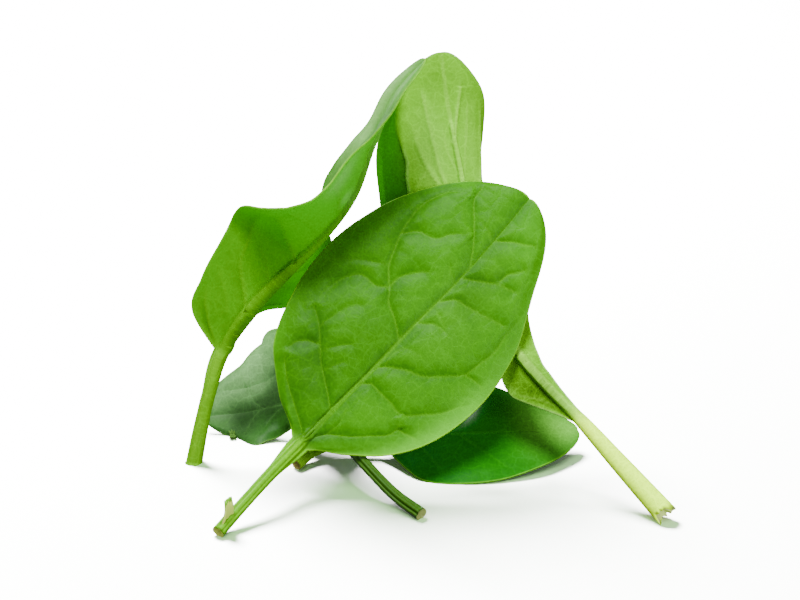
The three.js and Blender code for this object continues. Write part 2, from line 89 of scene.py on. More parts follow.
# Lengths are in millimetres, as in the part's own source. spine runs from the cut stalk end to the tip.
# blade_at: the spine point at which the blade begins. tip_roundness: how late the blade rounds to its tip.
# facing is the side from which left and right are told; upper is 1 when the upper face is on that side.
# stations: (along, left half width, its angle, its bend, right half width, its angle, its bend).
# stalk_radii: at the cut, halfway, at the blade's base and at the end of the midrib.
# cut_hollow, fork: how deep the cut end is hollowed and how far its sides stand out as a split.
# veins, fine_veins: (along, across) points, across from -1 (right margin) to 1 (left margin).
# tones: soft patches painted lighter or darker, mostly painted light and shade (lit and shaded panels, shaded
# hollows and wings) and partly the tissue's own tone, as (along, across, reach along, reach across, amount).
# blooms: soft patches of painted sheen, pale where light glances off the waxy skin, given in the same way.
# quilt: how strongly the blade swells between its veins, 1 being the full height.
# lifts: margins turned up towards the upper face as (along, side, reach along, start across, height).
# fold: where a dark strip along the left margin begins, as (along, across) points, and how far it is set back; on
# the underside the strip is painted in the upper face's colour.
FRONT_LEAF = {
    "spine": ((-45.2, -30, 1.15), (-40.9, -24, 4.0), (-35, -16, 7.8), (-28.6, -6.6, 11), (-20.4, -1.6, 18.2),
              (-12.2, 2.9, 25.3), (-4, 7.7, 32.8), (4.2, 12.2, 39.8), (13, 17.4, 48), (22.6, 23.8, 57.7)),
    "blade_at": 3,
    "facing": (0, -0.84, 0.54),
    "upper": 1,
    "tip_roundness": 8,
    "stations": (
        (0, 2.1, 0, 0, 1.9, 180, 0),
        (0.03, 4.7, 0, -6, 4.2, 180, 6),
        (0.07, 11, 0, -10, 8.3, 180, 10),
        (0.17, 20, 0, -10, 15.9, 180, 10),
        (0.33, 25.1, 0, -10, 21.2, 180, 10),
        (0.5, 27, 0, -10, 22.7, 180, 10),
        (0.67, 26.3, 0, -10, 20.5, 180, 10),
        (0.83, 24, 0, -10, 15.7, 180, 10),
        (1, 20, 0, -10, 13.4, 180, 10),
    ),
    "stalk_radii": (1.45, 1.35, 1.5, 0.55),
    "cut_hollow": 0.5,
    "quilt": 1,
    "fork": 0.0,
    "veins": (
        ((0.0, -0.09), (0.02, -0.17), (0.07, -0.3), (0.11, -0.52), (0.16, -0.64), (0.2, -0.72),
         (0.23, -0.69), (0.27, -0.6)),
        ((0.23, -0.69), (0.24, -0.83), (0.25, -0.92)),
        ((0.24, 0.0), (0.27, -0.1), (0.27, -0.21), (0.27, -0.4), (0.27, -0.59), (0.31, -0.71),
         (0.34, -0.8), (0.38, -0.86), (0.43, -0.93)),
        ((0.3, 0.0), (0.33, -0.06), (0.35, -0.15), (0.37, -0.26), (0.39, -0.42), (0.44, -0.58),
         (0.48, -0.68), (0.54, -0.72), (0.59, -0.76), (0.66, -0.77), (0.72, -0.85)),
        ((0.48, -0.68), (0.49, -0.79), (0.49, -0.92)),
        ((0.49, 0.0), (0.51, -0.07), (0.53, -0.16), (0.53, -0.32)),
        ((0.58, 0.0), (0.62, -0.11), (0.63, -0.25), (0.64, -0.39), (0.65, -0.53), (0.66, -0.68),
         (0.66, -0.77)),
        ((0.68, 0.0), (0.71, -0.19), (0.74, -0.4), (0.75, -0.56), (0.76, -0.72)),
        ((0.75, -0.4), (0.78, -0.45), (0.8, -0.55), (0.83, -0.7)),
        ((0.0, 0.1), (0.03, 0.3), (0.06, 0.5), (0.1, 0.72), (0.14, 0.8), (0.17, 0.82)),
        ((0.13, 0.0), (0.17, 0.2), (0.21, 0.4), (0.25, 0.52), (0.29, 0.63), (0.32, 0.74), (0.33, 0.8)),
        ((0.25, 0.53), (0.23, 0.66), (0.2, 0.77), (0.17, 0.82)),
        ((0.42, 0.0), (0.46, 0.16), (0.48, 0.28), (0.51, 0.36), (0.49, 0.46), (0.49, 0.55),
         (0.48, 0.63), (0.44, 0.71), (0.4, 0.74), (0.33, 0.78)),
        ((0.51, 0.36), (0.55, 0.37), (0.6, 0.3), (0.64, 0.2)),
        ((0.51, 0.36), (0.56, 0.5), (0.61, 0.57), (0.66, 0.64), (0.71, 0.69), (0.76, 0.74),
         (0.81, 0.76), (0.87, 0.75), (0.9, 0.62)),
        ((0.66, 0.64), (0.7, 0.56), (0.71, 0.48), (0.72, 0.4), (0.76, 0.34), (0.8, 0.22)),
        ((0.72, 0.0), (0.78, 0.12), (0.84, 0.3), (0.89, 0.52), (0.93, 0.66), (0.96, 0.84)),
        ((0.83, 0.0), (0.86, -0.25), (0.88, -0.5), (0.9, -0.72)),
    ),
    "fine_veins": (
        ((0.56, -0.07), (0.55, -0.17), (0.54, -0.26)),
        ((0.65, 0), (0.67, 0.08), (0.69, 0.17)),
        ((0.29, 0.62), (0.36, 0.55), (0.4, 0.5), (0.44, 0.38)),
        ((0.24, 0.48), (0.29, 0.36), (0.33, 0.25)),
        ((0.2, 0.36), (0.26, 0.24)),
        ((0.74, 0.82), (0.75, 0.88), (0.76, 0.98)),
        ((0.56, 0.5), (0.5, 0.75), (0.46, 0.9)),
        ((0.06, -0.3), (0.12, -0.25), (0.18, -0.1)),
        ((0.33, -0.07), (0.38, -0.05), (0.42, -0.12), (0.43, -0.3)),
        ((0.81, -0.03), (0.84, 0.1), (0.85, 0.25)),
    ),
    "painted_light_and_tone_patches": (
        (0.3, -0.98, 0.32, 0.16, 0.85),
        (0.1, 0.95, 0.12, 0.1, 0.3),
        (0.5, 0.75, 0.3, 0.3, -0.12),
        (0.2, 0.5, 0.14, 0.4, -0.36),
        (0.42, 0.2, 0.12, 0.3, -0.16),
        (0.76, -0.2, 0.12, 0.25, -0.16),
        (0.92, -0.5, 0.12, 0.4, 0.35),
        (0.05, -0.1, 0.06, 0.5, -0.26),
        (0.17, -0.45, 0.08, 0.25, 0.2),
    ),
    "painted_sheens": (
        (0.62, -0.2, 0.2, 0.3, 0.1),
        (0.3, -0.95, 0.3, 0.15, 0.25),
    ),
    "lifts": (
        (0.28, -1, 0.3, 0.7, 1.5),
        (0.08, 1, 0.1, 0.75, -0.9),
    ),
    "dark_strip_line": (),
    "dark_strip_depth": 0,
}
LEFT_LEAF = {
    "spine": ((-53.6, 7.4, -1.2), (-51.8, 9.2, 7.6), (-49.8, 11, 15.7), (-46.8, 13.5, 24.4),
              (-40, 15.6, 34.7), (-31.5, 17.6, 43.2), (-23, 19.4, 51.7), (-16.9, 20.4, 60.2), (-12.8, 21.4, 71.2),
              (-7.7, 22.4, 82.2), (-0.9, 22.4, 90.2)),
    "blade_at": 3,
    "facing": (0, -0.93, 0.36),
    "upper": -1,
    "tip_roundness": 8,
    "stations": (
        (0, 2, -20, 0, 1.5, 210, 0),
        (0.05, 11, -15, 0, 4, 258, 0),
        (0.12, 13, -8, 0, 7, 258, 0),
        (0.2, 14.8, 0, 0, 13, 243, 0),
        (0.3, 17.5, 12, 0, 16, 244, 0),
        (0.36, 18.5, 44, 0, 16.5, 250, 0),
        (0.42, 18, 58, 0, 16.5, 282, 0),
        (0.5, 16.5, 66, 0, 15, 300, 0),
        (0.6, 14, 68, 0, 12, 306, 0),
        (0.68, 12, 74, 0, 9, 302, 0),
        (0.76, 10, 90, 0, 7, 294, 0),
        (0.84, 8.5, 105, 0, 6, 298, 0),
        (0.92, 7, 108, 0, 5, 303, 0),
        (1, 6, 110, 0, 5, 303, 0),
    ),
    "stalk_radii": (1.9, 1.6, 1.6, 0.6),
    "cut_hollow": 0.5,
    "quilt": 0.6,
    "fork": 0.0,
    "veins": (
        ((0.0, 0.45), (0.02, 0.47), (0.04, 0.52), (0.07, 0.62), (0.09, 0.74), (0.13, 0.86)),
        ((0.13, 0.0), (0.17, 0.22), (0.2, 0.45), (0.23, 0.58), (0.29, 0.65), (0.34, 0.75), (0.38, 0.86)),
        ((0.32, 0.0), (0.34, 0.1), (0.36, 0.34), (0.38, 0.55), (0.39, 0.78)),
        ((0.14, 0.0), (0.17, -0.33), (0.21, -0.73)),
        ((0.5, 0.0), (0.56, 0.4), (0.6, 0.8)),
        ((0.28, 0.0), (0.34, -0.4), (0.38, -0.8)),
        ((0.46, 0.0), (0.52, -0.4), (0.56, -0.8)),
        ((0.66, 0.0), (0.74, 0.45), (0.8, 0.8)),
    ),
    "fine_veins": (
        ((0.24, 0.1), (0.27, 0.3), (0.29, 0.5)),
        ((0.1, 0.3), (0.14, 0.5), (0.17, 0.8)),
        ((0.22, -0.1), (0.25, -0.3), (0.26, -0.6)),
        ((0.42, 0.1), (0.44, 0.5), (0.43, 0.85)),
    ),
    "painted_light_and_tone_patches": (
        (0.26, 0.32, 0.08, 0.26, -0.3),
        (0.2, -0.55, 0.06, 0.45, -0.7),
        (0.36, -0.25, 0.07, 0.2, 0.4),
        (0.45, 0.3, 0.1, 0.5, -0.1),
        (0.06, 0.5, 0.05, 0.4, -0.22),
        (0.8, 0.95, 0.1, 0.3, -0.4),
    ),
    "painted_sheens": (
        (0.78, -0.5, 0.22, 0.5, 0.85),
        (0.9, 0.6, 0.12, 0.5, 0.4),
        (0.63, 0.7, 0.08, 0.3, 0.95),
        (0.55, 0.15, 0.03, 0.1, 0.6),
    ),
    "lifts": (),
    "dark_strip_line": (),
    "dark_strip_depth": 0,
}
BACK_LEAF = {
    "spine": ((50.2, -22.2, 2.0), (41, -12.5, 9.4), (33.2, -4.2, 15.7), (25.6, 2.9, 21.4), (19.5, 9.2, 26.8),
              (14, 17.6, 35), (10.8, 23, 44.4), (8.5, 27, 53.9), (6.9, 29.5, 62.9), (5.2, 31.2, 71.4),
              (3.7, 32.8, 79.9), (2.6, 34.4, 88.8)),
    "blade_at": 2,
    "facing": (0, -0.95, 0.3),
    "upper": -1,
    "tip_roundness": 7,
    "stations": (
        (0, 0.8, -10, 0, 0.8, 180, 0),
        (0.07, 3.9, -10, 0, 1.5, 180, 0),
        (0.12, 6.3, -10, 0, 2.1, 180, 10),
        (0.15, 7.3, -10, 0, 2.4, 180, 20),
        (0.18, 6.9, -10, 0, 3.2, 180, 24),
        (0.215, 5.8, -10, 0, 4.1, 181, 29),
        (0.26, 7.5, -8, -5, 5.7, 184, 33),
        (0.33, 14.5, -5, -20, 9, 190, 40),
        (0.45, 21, 0, -40, 12, 195, 60),
        (0.6, 22, 5, -55, 12, 205, 85),
        (0.75, 21.5, 5, -55, 11.5, 196, 62),
        (0.88, 17, 5, -45, 12, 185, 40),
        (1, 11, 0, -20, 9, 180, 20),
    ),
    "stalk_radii": (2.5, 2.0, 1.5, 0.6),
    "cut_hollow": 1.4,
    "quilt": 0.4,
    "fork": 1.5,
    "veins": (
        ((0.6, 0.0), (0.64, 0.12), (0.72, 0.21), (0.79, 0.25), (0.88, 0.38), (0.92, 0.52)),
        ((0.58, 0.02), (0.64, 0.15), (0.71, 0.3), (0.77, 0.41), (0.83, 0.52)),
        ((0.4, 0.0), (0.46, 0.3), (0.52, 0.52), (0.6, 0.72)),
        ((0.22, 0.0), (0.27, 0.35), (0.34, 0.7)),
        ((0.52, 0.0), (0.63, -0.3), (0.7, -0.51), (0.79, -0.69), (0.86, -0.84)),
        ((0.3, 0.0), (0.38, -0.35), (0.46, -0.75)),
        ((0.78, 0.02), (0.86, -0.2), (0.92, -0.45)),
    ),
    "fine_veins": (
        ((0.15, 0.78), (0.115, 0.58), (0.07, 0.45), (0.03, 0.3)),
        ((0.7, 0.02), (0.76, 0.1), (0.82, 0.12)),
        ((0.66, -0.02), (0.72, -0.12), (0.8, -0.3), (0.88, -0.5)),
        ((0.72, 0.34), (0.7, 0.45), (0.66, 0.52)),
    ),
    "painted_light_and_tone_patches": (
        (0.95, 0.1, 0.1, 0.8, -0.25),
        (0.12, 0.5, 0.1, 0.8, -0.75),
        (0.2, -0.8, 0.15, 0.5, -0.3),
    ),
    "painted_sheens": (
        (0.72, 0.3, 0.14, 0.25, 0.6),
        (0.65, -0.4, 0.2, 0.3, 0.3),
        (0.185, 1, 0.03, 0.2, 0.8),
        (0.13, -0.15, 0.1, 0.2, 0.9),
    ),
    "lifts": (),
    "dark_strip_line": ((0.4, 0.62), (0.55, 0.6), (0.62, 0.59), (0.66, 0.6), (0.71, 0.57), (0.75, 0.62), (0.8, 0.7),
             (0.86, 0.8), (0.92, 0.95), (1.0, 1.1)),
    "dark_strip_depth": 0.8,
}
RIGHT_FLOOR_LEAF = {
    "spine": ((-30, 3.8, 1.1), (-26, 8.5, 2.4), (-20, 11, 3.3), (-12, 11.5, 4.2), (-3.5, 10.5, 5.5),
              (5, 9.5, 6), (14, 9.5, 6.3), (23, 11, 6), (34.2, 14.6, 4.8)),
    "blade_at": 3,
    "facing": (0, -0.4, 0.9),
    "upper": 1,
    "tip_roundness": 6,
    "stations": (
        (0, 1, 0, 0, 1, 180, 0),
        (0.1, 6.5, -12, -15, 6, 180, 0),
        (0.22, 12.5, -26, -50, 12, 180, 0),
        (0.33, 15, -27, -52, 14.2, 180, 0),
        (0.45, 15.6, -15, -30, 14.6, 180, 0),
        (0.56, 15, 5, -14, 14.4, 180, 0),
        (0.7, 13.8, 8, -12, 13.3, 180, 0),
        (0.85, 11, 2, -8, 11.6, 180, 0),
        (1, 7.5, 0, 0, 9, 180, 0),
    ),
    "stalk_radii": (1.3, 1.2, 1.2, 0.5),
    "cut_hollow": 0.4,
    "quilt": 0.35,
    "fork": 0.0,
    "veins": (
        ((0.15, 0), (0.25, 0.4), (0.35, 0.8)),
        ((0.35, 0), (0.47, 0.4), (0.58, 0.8)),
        ((0.6, 0), (0.72, 0.4), (0.82, 0.75)),
        ((0.15, 0), (0.25, -0.4), (0.35, -0.8)),
        ((0.4, 0), (0.52, -0.4), (0.62, -0.8)),
        ((0.62, 0), (0.74, -0.4), (0.84, -0.75)),
    ),
    "fine_veins": (
        ((0.6, -0.08), (0.75, -0.06), (0.88, -0.13), (0.95, -0.3)),
    ),
    "painted_light_and_tone_patches": (
        (0.3, -0.3, 0.3, 0.9, -0.2),
    ),
    "painted_sheens": (
        (0.97, 0.1, 0.13, 1.1, 0.85),
        (0.84, 0.3, 0.12, 0.8, 0.35),
    ),
    "lifts": (),
    "dark_strip_line": (),
    "dark_strip_depth": 0,
}
LEFT_FLOOR_LEAF = {
    "spine": ((-2, -21.5, 1.2), (-8.2, -15, 3.2), (-15.4, -5.4, 6.9), (-21, 5, 8.8), (-25.5, 14.5, 9.6),
              (-31, 21.5, 8.6), (-37, 24.6, 6.2), (-43, 25.6, 4.4), (-52.5, 25.5, 3.4)),
    "blade_at": 3,
    "facing": (0, -0.85, 0.52),
    "upper": 1,
    "tip_roundness": 6,
    "stations": (
        (0, 1, 0, 0, 1, 180, 0),
        (0.12, 3, 0, 0, 7.5, 180, 0),
        (0.3, 5.6, 0, 0, 15.2, 180, 0),
        (0.5, 6.6, 0, 0, 17.8, 180, 0),
        (0.62, 9, 8, 25, 15, 180, 0),
        (0.75, 11, 10, 35, 13, 180, 0),
        (0.86, 8, 5, 15, 12.2, 180, 0),
        (1, 5, 0, 0, 11, 180, 0),
    ),
    "stalk_radii": (1.45, 1.3, 1.3, 0.5),
    "cut_hollow": 0.4,
    "quilt": 0.7,
    "fork": 0.0,
    "veins": (
        ((0.36, 0.0), (0.44, -0.3), (0.52, -0.41), (0.63, -0.41), (0.81, -0.51), (0.95, -0.7)),
        ((0.66, 0.0), (0.7, -0.12), (0.72, -0.27), (0.73, -0.47)),
        ((0.67, 0.0), (0.71, 0.12), (0.75, 0.34), (0.78, 0.7)),
        ((0.44, 0.0), (0.52, 0.08), (0.6, 0.25), (0.66, 0.6)),
    ),
    "fine_veins": (
        ((0.8, 0.03), (0.86, -0.15), (0.92, -0.3)),
        ((0.5, -0.38), (0.56, -0.6), (0.6, -0.85)),
        ((0.84, 0.05), (0.88, 0.4), (0.9, 0.7)),
    ),
    "painted_light_and_tone_patches": (
        (0.58, 0.1, 0.1, 0.4, -0.25),
        (0.62, -0.7, 0.08, 0.3, -0.1),
    ),
    "painted_sheens": (
        (0.66, -0.6, 0.2, 0.5, 0.95),
        (0.9, -0.5, 0.12, 0.4, 0.4),
        (0.7, -0.28, 0.15, 0.08, 0.35),
        (0.85, 0.4, 0.15, 0.5, 0.2),
    ),
    "lifts": (),
    "dark_strip_line": (),
    "dark_strip_depth": 0,
}
# Torn tongues of skin that still hang on a leaf: root, top, the direction across, half width and curl.
FRONT_STALK_SCRAP = {"root": (-43.4, -28, 2.9), "top": (-43, -28.3, 8), "across": (0.55, 0.76, 0.36),
                     "half_width": 1.9, "curl": 0.3}
LEFT_MARGIN_SCRAP = {"root": (-45.6, 22.8, 0.9), "top": (-45.4, 19.9, 0.4), "across": (1, 0, 0),
                     "half_width": 0.9, "curl": 0.2}


# The soft lights: name, place and aim in metres, width, watts, tint, and which takes them, floor or leaves.
WHITE = (1.0, 1.0, 1.0)
LIGHTS = (
    ("floor_light", (-0.28, 0.5, 0.8), (0.0, 0.0, 0.0), 0.4, 190.0, WHITE, "floor"),
    ("floor_bounce", (0.0, -0.5, 0.9), (0.0, 0.0, 0.0), 0.8, 14.0, (0.45, 1.0, 0.3), "floor"),
    ("top_light", (-0.12, -0.18, 0.85), (0.0, 0.0, 0.04), 0.35, 25.0, WHITE, "leaves"),
    ("back_light", (-0.45, 0.6, 0.35), (-0.02, 0.01, 0.05), 0.35, 12.0, WHITE, "leaves"),
    ("front_light", (0.5, -0.7, 0.4), (0.0, 0.0, 0.04), 0.5, 9.0, WHITE, "leaves"),
)
VIEW_TARGET = (-6.6, 5.0, 40.5)
FILM_WIDTH = 36.0


# Sizes and colours that can be changed in the sidebar
def colour(name, description, default):
    return FloatVectorProperty(name=name, description=description, subtype="COLOR", size=3, min=0.0, max=1.0,
                               default=default)


def length(name, description, millimetres):
    return FloatProperty(name=name, description=description, unit="LENGTH", subtype="DISTANCE", min=0.0,
                         default=millimetres * MM, precision=5)


def share(name, description, default):
    return FloatProperty(name=name, description=description, subtype="FACTOR", min=0.0, max=1.0,
                         default=default)


class BladeSizes(bpy.types.PropertyGroup):
    thickness: length("Thickness", "Blade thickness away from the margin", 0.7)
    margin_thickness: length("Margin thickness", "Blade thickness next to the margin", 0.5)
    quilt_height: length("Quilt height", "How far the blade swells between its side veins", 0.8)
    quilt_reach: length("Quilt reach", "Distance from a vein over which the blade rises", 1.8)
    crimp_height: length("Crimp height", "How far it swells between the finest veins", 0.12)
    wave_height: length("Wave height", "Slow rise and fall of the whole blade", 0.35)
    vein_width: length("Vein width", "Half width of a side vein", 0.3)


class FrontLeafLooks(bpy.types.PropertyGroup):
    upper: colour("Upper face", "Tissue of the upper face", (0.036, 0.185, 0.001))
    # Darker upper face: painted shade in the hollows by the veins, and random clouds of darker tissue.
    upper_shaded_and_mottled: colour("Upper face, deep", "Tissue in the hollows", (0.018, 0.108, 0.001))
    under: colour("Underside", "Tissue of the underside", (0.12, 0.33, 0.02))
    under_deep: colour("Underside, deep", "Darker tissue of the underside", (0.09, 0.27, 0.012))
    # Painted sheen: a pale colour that stands in for light glancing off the skin.
    painted_sheen: colour("Bloom", "Pale waxy bloom", (0.11, 0.33, 0.03))
    vein: colour("Veins", "Veins and midrib", (0.075, 0.28, 0.0015))
    margin: colour("Margin", "Thin line along the margin", (0.15, 0.42, 0.01))
    stalk: colour("Stalk", "Stalk skin", (0.1, 0.29, 0.001))
    stalk_deep: colour("Stalk grooves", "Grooves of the stalk", (0.03, 0.2, 0.001))
    cut: colour("Cut end", "Fresh cut through the stalk", (0.72, 0.88, 0.14))
    glow: colour("Glow", "Light that comes through the blade", (0.08, 0.34, 0.001))
    through: share("Light through", "Share of the light that passes into the blade", 0.3)
    shine: share("Shine", "Strength of the waxy shine", 0.05)


class LeftLeafLooks(bpy.types.PropertyGroup):
    upper: colour("Upper face", "Tissue of the upper face", (0.04, 0.2, 0.003))
    # Darker upper face: painted shade in the hollows by the veins, and random clouds of darker tissue.
    upper_shaded_and_mottled: colour("Upper face, deep", "Tissue in the hollows", (0.025, 0.15, 0.002))
    under: colour("Underside", "Tissue of the underside", (0.078, 0.29, 0.001))
    under_deep: colour("Underside, deep", "Darker tissue of the underside", (0.066, 0.25, 0.001))
    # Painted sheen: a pale colour that stands in for light glancing off the skin.
    painted_sheen: colour("Bloom", "Pale waxy bloom", (0.27, 0.56, 0.15))
    vein: colour("Veins", "Veins and midrib", (0.12, 0.36, 0.002))
    margin: colour("Margin", "Thin line along the margin", (0.22, 0.48, 0.03))
    stalk: colour("Stalk", "Stalk skin", (0.11, 0.31, 0.0015))
    stalk_deep: colour("Stalk grooves", "Grooves of the stalk", (0.05, 0.2, 0.001))
    cut: colour("Cut end", "Fresh cut through the stalk", (0.6, 0.75, 0.25))
    glow: colour("Glow", "Light that comes through the blade", (0.18, 0.56, 0))
    through: share("Light through", "Share of the light that passes into the blade", 0.55)
    shine: share("Shine", "Strength of the waxy shine", 0.03)


class BackLeafLooks(bpy.types.PropertyGroup):
    upper: colour("Upper face", "Tissue of the upper face", (0.008, 0.13, 0.001))
    # Darker upper face: painted shade in the hollows by the veins, and random clouds of darker tissue.
    upper_shaded_and_mottled: colour("Upper face, deep", "Tissue in the hollows", (0.006, 0.11, 0.001))
    under: colour("Underside", "Tissue of the underside", (0.17, 0.52, 0.008))
    under_deep: colour("Underside, deep", "Darker tissue of the underside", (0.14, 0.44, 0.005))
    # Painted sheen: a pale colour that stands in for light glancing off the skin.
    painted_sheen: colour("Bloom", "Pale waxy bloom", (0.25, 0.63, 0.045))
    vein: colour("Veins", "Veins and midrib", (0.32, 0.72, 0.06))
    margin: colour("Margin", "Thin line along the margin", (0.28, 0.6, 0.1))
    stalk: colour("Stalk", "Stalk skin", (0.6, 0.98, 0.004))
    stalk_deep: colour("Stalk grooves", "Grooves of the stalk", (0.5, 0.95, 0.004))
    cut: colour("Cut end", "Fresh cut through the stalk", (0.62, 0.75, 0.22))
    glow: colour("Glow", "Light that comes through the blade", (0.13, 0.45, 0.003))
    through: share("Light through", "Share of the light that passes into the blade", 0.3)
    shine: share("Shine", "Strength of the waxy shine", 0.03)


class RightFloorLeafLooks(bpy.types.PropertyGroup):
    upper: colour("Upper face", "Tissue of the upper face", (0.0045, 0.098, 0.002))
    # Darker upper face: painted shade in the hollows by the veins, and random clouds of darker tissue.
    upper_shaded_and_mottled: colour("Upper face, deep", "Tissue in the hollows", (0.003, 0.075, 0.001))
    under: colour("Underside", "Tissue of the underside", (0.08, 0.24, 0.02))
    under_deep: colour("Underside, deep", "Darker tissue of the underside", (0.06, 0.2, 0.015))
    # Painted sheen: a pale colour that stands in for light glancing off the skin.
    painted_sheen: colour("Bloom", "Pale waxy bloom", (0.09, 0.3, 0.025))
    vein: colour("Veins", "Veins and midrib", (0.01, 0.14, 0.003))
    margin: colour("Margin", "Thin line along the margin", (0.08, 0.3, 0.01))
    stalk: colour("Stalk", "Stalk skin", (0.13, 0.33, 0.01))
    stalk_deep: colour("Stalk grooves", "Grooves of the stalk", (0.06, 0.2, 0.004))
    cut: colour("Cut end", "Fresh cut through the stalk", (0.26, 0.24, 0.06))
    glow: colour("Glow", "Light that comes through the blade", (0.02, 0.2, 0.001))
    through: share("Light through", "Share of the light that passes into the blade", 0.12)
    shine: share("Shine", "Strength of the waxy shine", 0.02)


class LeftFloorLeafLooks(bpy.types.PropertyGroup):
    upper: colour("Upper face", "Tissue of the upper face", (0.03, 0.135, 0.014))
    # Darker upper face: painted shade in the hollows by the veins, and random clouds of darker tissue.
    upper_shaded_and_mottled: colour("Upper face, deep", "Tissue in the hollows", (0.016, 0.08, 0.008))
    under: colour("Underside", "Tissue of the underside", (0.12, 0.3, 0.05))
    under_deep: colour("Underside, deep", "Darker tissue of the underside", (0.1, 0.26, 0.04))
    # Painted sheen: a pale colour that stands in for light glancing off the skin.
    painted_sheen: colour("Bloom", "Pale waxy bloom", (0.3, 0.66, 0.22))
    vein: colour("Veins", "Veins and midrib", (0.11, 0.33, 0.06))
    margin: colour("Margin", "Thin line along the margin", (0.16, 0.38, 0.06))
    stalk: colour("Stalk", "Stalk skin", (0.02, 0.065, 0.001))
    stalk_deep: colour("Stalk grooves", "Grooves of the stalk", (0.006, 0.034, 0.0005))
    cut: colour("Cut end", "Fresh cut through the stalk", (0.24, 0.3, 0.08))
    glow: colour("Glow", "Light that comes through the blade", (0.05, 0.26, 0.004))
    through: share("Light through", "Share of the light that passes into the blade", 0.2)
    shine: share("Shine", "Strength of the waxy shine", 0.1)


class StageLooks(bpy.types.PropertyGroup):
    floor: colour("Floor", "Pale floor", (0.93, 0.93, 0.93))
    air: colour("Surrounding light", "Even light from all round", (1.0, 1.0, 1.0))
    camera_distance: length("Camera distance", "Camera to the middle of the bunch", 520)
    camera_pitch: FloatProperty(name="Camera pitch", description="How far the camera looks down",
                                subtype="ANGLE", default=math.radians(21.0))
    focal_length: FloatProperty(name="Focal length", description="Lens on a 36 mm film",
                                subtype="DISTANCE_CAMERA", default=106.36)


# The form of a leaf
def smooth(low, high, x):
    f = np.clip((x - low) / (high - low), 0, 1)
    return f * f * (3 - 2 * f)


def through_points(points, s):
    """Points on the smooth curve through the given ones, s counting them from the first."""
    p = np.asarray(points, float)
    p = np.vstack([2 * p[0] - p[1], p, 2 * p[-1] - p[-2]])
    s = np.clip(s, 0, len(p) - 3)
    i = np.minimum(s.astype(int), len(p) - 4)
    f = (s - i)[:, None]
    a, b, c, d = p[i], p[i + 1], p[i + 2], p[i + 3]
    return 0.5 * (2 * b + (c - a) * f + (2 * a - 5 * b + 4 * c - d) * f**2 + (3 * b - a - 3 * c + d) * f**3)


def station_value(stations, column, t):
    """A smooth value at t through the stations' column."""
    table = np.asarray(stations, float)
    k, v = table[:, 0], table[:, column]
    slope = np.empty_like(v)
    slope[1:-1] = (v[2:] - v[:-2]) / (k[2:] - k[:-2])
    slope[0] = (v[1] - v[0]) / (k[1] - k[0])
    slope[-1] = (v[-1] - v[-2]) / (k[-1] - k[-2])
    i = np.clip(np.searchsorted(k, t, side="right") - 1, 0, len(k) - 2)
    h = k[i + 1] - k[i]
    f = (t - k[i]) / h
    return ((1 + 2 * f) * (1 - f) ** 2 * v[i] + f * (1 - f) ** 2 * h * slope[i]
            + f * f * (3 - 2 * f) * v[i + 1] + f * f * (f - 1) * h * slope[i + 1])


def unit(v):
    return v / np.maximum(np.linalg.norm(v, axis=-1, keepdims=True), 1e-12)


def stalk_radius(leaf, s):
    cut, waist, base, _ = leaf["stalk_radii"]
    down = np.clip(s / leaf["blade_at"], 0, 1)
    return cut + (waist - cut) * np.minimum(down * 2, 1) + (base - waist) * np.maximum(down * 2 - 1, 0)


def lines_near(lines, flat_of, place_x, place_y, fade):
    """Distance of each place from the nearest smooth line, and how strong that line still is there."""
    nearest = np.full(place_x.shape, 1e3)
    strength = np.zeros(place_x.shape)
    for line in lines:
        points = through_points(line, np.linspace(0, len(line) - 1, 6 * (len(line) - 1) + 1))
        flat = flat_of(points[:, 0], points[:, 1])
        share_along = np.linspace(0, 1, len(flat))
        for (x0, y0), (x1, y1), along in zip(flat[:-1], flat[1:], share_along):
            dx, dy = x1 - x0, y1 - y0
            f = np.clip(((place_x - x0) * dx + (place_y - y0) * dy) / max(dx * dx + dy * dy, 1e-9), 0, 1)
            d = np.hypot(place_x - x0 - f * dx, place_y - y0 - f * dy)
            closer = d < nearest
            nearest = np.where(closer, d, nearest)
            strength = np.where(closer, (1 - fade * along) * (1 - smooth(0.8, 1, along)), strength)
    return nearest, strength


def cells_near(place_x, place_y, cell, seed):
    """Distance from the walls between irregular cells of about the given size."""
    rng = np.random.default_rng(seed)
    xs = np.arange(place_x.min() - cell, place_x.max() + 2 * cell, cell)
    ys = np.arange(place_y.min() - cell, place_y.max() + 2 * cell, cell)
    seeds = np.stack(np.meshgrid(xs, ys), -1).reshape(-1, 2)
    seeds += rng.uniform(-0.42 * cell, 0.42 * cell, seeds.shape)
    first = np.full(place_x.shape, 1e3)
    second = np.full(place_x.shape, 1e3)
    for sx, sy in seeds:
        d = np.hypot(place_x - sx, place_y - sy)
        second = np.minimum(second, np.maximum(first, d))
        first = np.minimum(first, d)
    return (second - first) / 2


def slow_waves(place_x, place_y, seed):
    """A gentle unrepeated rise and fall between -1 and 1."""
    rng = np.random.default_rng(seed)
    total = np.zeros(place_x.shape)
    for _ in range(5):
        turn, shift = rng.uniform(0, 2 * np.pi, 2)
        pace = 2 * np.pi / rng.uniform(13, 28)
        total += np.sin(pace * (np.cos(turn) * place_x + np.sin(turn) * place_y) + shift)
    return total / 5


